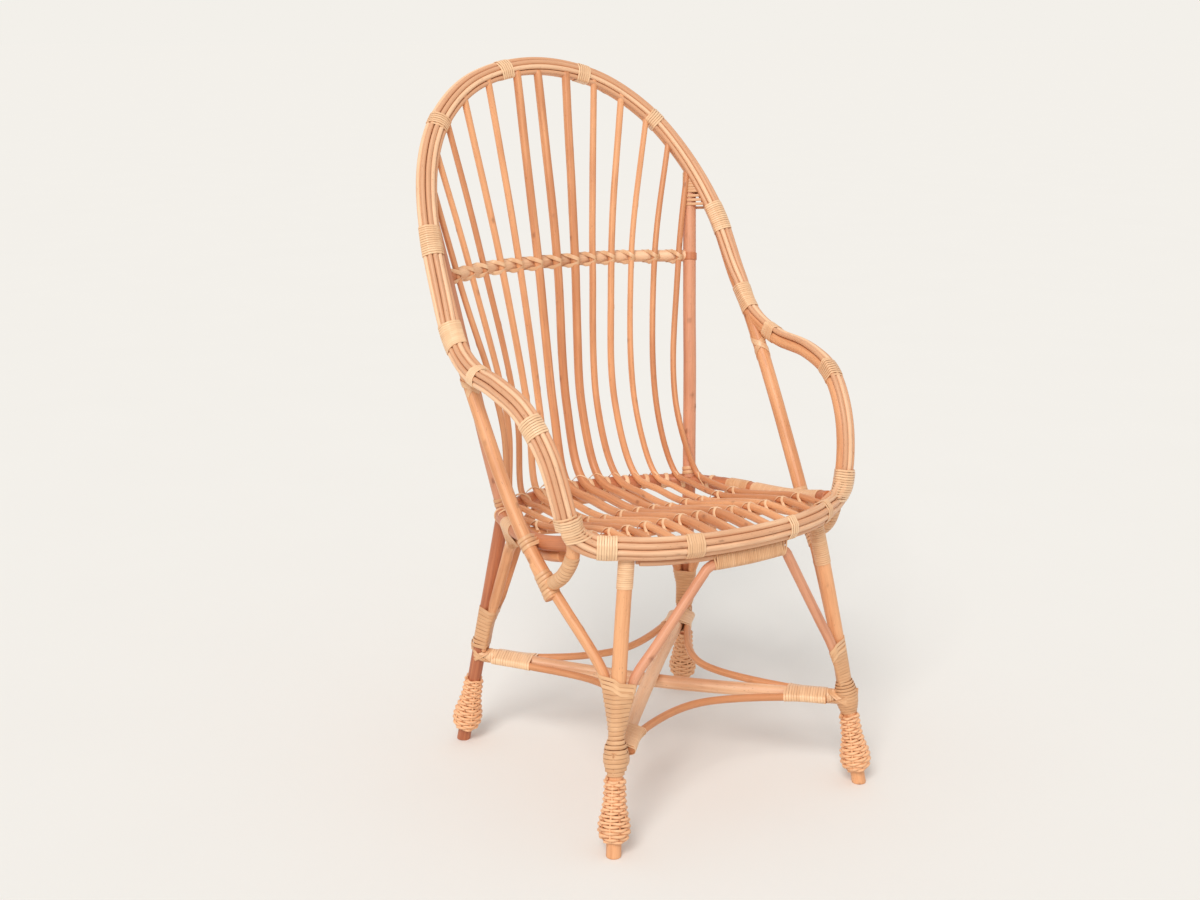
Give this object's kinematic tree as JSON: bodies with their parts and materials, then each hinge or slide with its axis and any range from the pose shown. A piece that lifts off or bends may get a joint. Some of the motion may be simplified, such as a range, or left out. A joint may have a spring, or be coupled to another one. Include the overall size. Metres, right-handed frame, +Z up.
{
  "type": "wicker armchair",
  "caption": "Free-standing willow armchair with a tall rounded back of bent spindles that run on as the seat, rod-faced arms, splayed legs, crossed stretchers and woven foot sleeves.",
  "frame": {"origin": "middle of the footprint's box, on the floor", "axes": "+Z up, the sitter faces -Y, +X is the sitter's left"},
  "size_m": [0.5994, 0.6418, 1.1088],
  "materials": {
    "stick": "peeled willow, satin, fine fibre grain with knots",
    "warm_stick": "peeled willow, red-brown, satin",
    "pink_stick": "peeled willow, pinkish brown, satin",
    "spindle": "peeled willow, orange tan, satin, with knots",
    "face_rod": "thin peeled willow rods, pale tan, satin",
    "weave": "plaited thin willow, tan, satin",
    "skein": "split willow skein, pale buff, satin"
  },
  "bodies": {
    "root": {"front_right_leg": "stick", "front_left_leg": "stick", "rear_right_leg": "stick", "rear_left_leg": "stick", "front_right_foot_sleeve": "weave", "front_left_foot_sleeve": "weave", "rear_right_foot_sleeve": "weave", "rear_left_foot_sleeve": "weave", "back_hoop": "stick", "right_arm_core": "stick", "left_arm_core": "stick", "seat_rail": "warm_stick", "front_rail": "stick", "face_rod_1": "face_rod", "face_rod_2": "face_rod", "face_rod_3": "face_rod", "face_rod_4": "face_rod", "face_rod_5": "face_rod", "rim_rod_1": "face_rod", "rim_rod_2": "face_rod", "rim_rod_3": "face_rod", "rim_rod_4": "face_rod", "under_rim_rod": "warm_stick", "right_back_post": "pink_stick", "left_back_post": "pink_stick", "back_cross_bar": "stick", "middle_seat_slat": "stick", "front_seat_slat": "stick", "spindle_01": "spindle", "spindle_02": "spindle", "spindle_03": "spindle", "spindle_04": "spindle", "spindle_05": "spindle", "spindle_06": "spindle", "spindle_07": "spindle", "spindle_08": "spindle", "spindle_09": "spindle", "spindle_10": "spindle", "spindle_11": "spindle", "spindle_12": "spindle", "spindle_13": "spindle", "front_brace": "stick", "rear_brace": "stick", "right_side_brace": "stick", "left_side_brace": "stick", "front_left_stretcher": "stick", "front_right_stretcher": "stick", "front_bow": "stick", "left_bow": "stick", "rear_bow": "stick", "right_bow": "stick", "front_right_joint_winding": "skein", "front_left_joint_winding": "skein", "rear_right_joint_winding": "skein", "rear_left_joint_winding": "skein", "front_apron_winding": "skein", "front_left_stretcher_winding": "skein", "rear_right_stretcher_winding": "skein", "front_right_stretcher_winding": "skein", "rear_left_stretcher_winding": "skein"}
  },
  "joints": []
}
